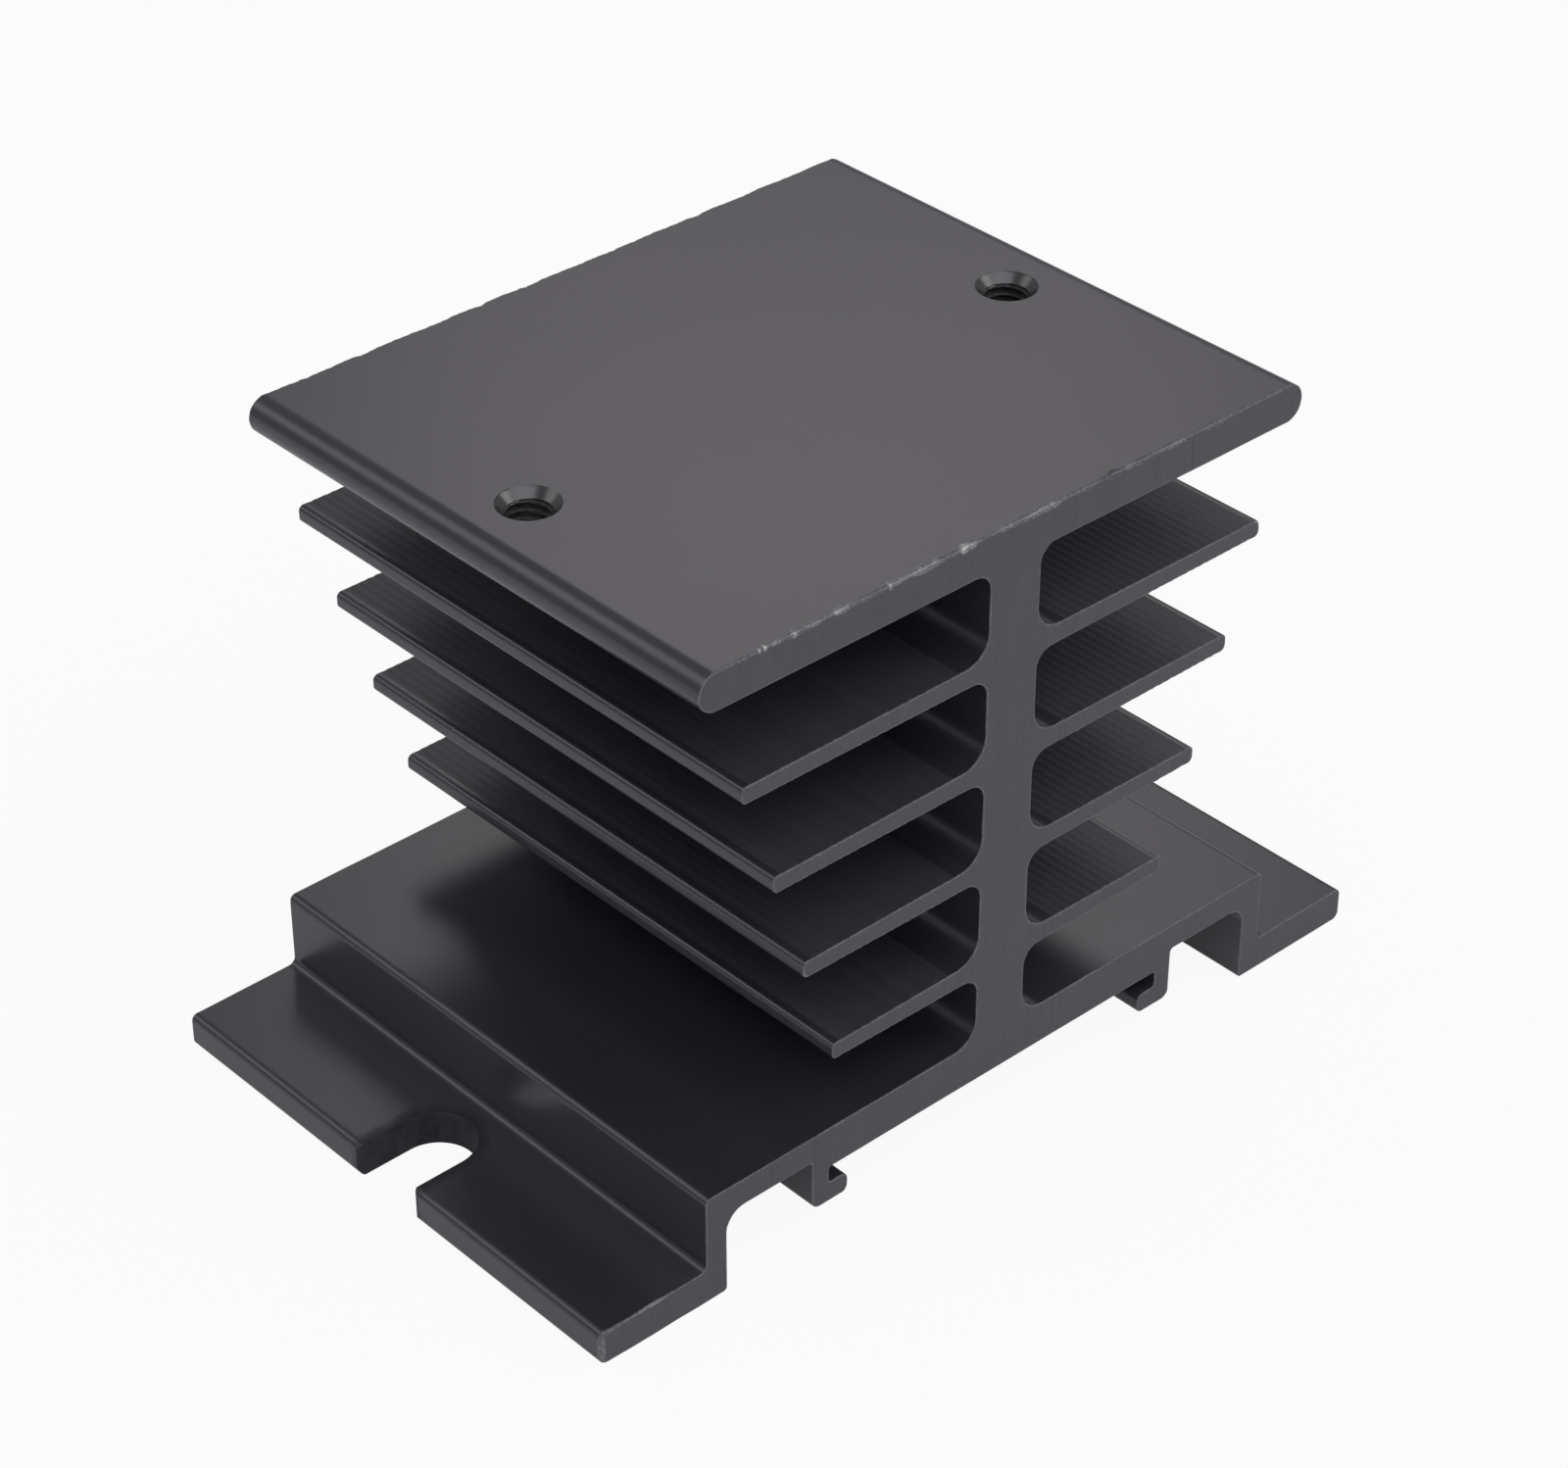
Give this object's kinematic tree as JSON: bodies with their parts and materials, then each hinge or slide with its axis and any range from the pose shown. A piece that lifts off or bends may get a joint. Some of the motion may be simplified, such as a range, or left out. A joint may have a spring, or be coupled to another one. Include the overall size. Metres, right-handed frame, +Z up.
{
  "type": "extruded heat sink",
  "caption": "Black anodised extruded aluminium heat sink with side fins on a central web, a flat device plate with tapped holes, slotted feet and rail hooks.",
  "frame": {"origin": "on the standing plane, under the middle of the section and of the length", "axes": "+X across the section over the feet, +Y along the extrusion, +Z up to the device plate"},
  "size_m": [0.08, 0.05, 0.055],
  "materials": {
    "anodised_aluminium": "satin black anodised, fine lines along the extrusion, sawn ends"
  },
  "bodies": {
    "root": {"heat_sink_body": "anodised_aluminium"}
  },
  "joints": []
}
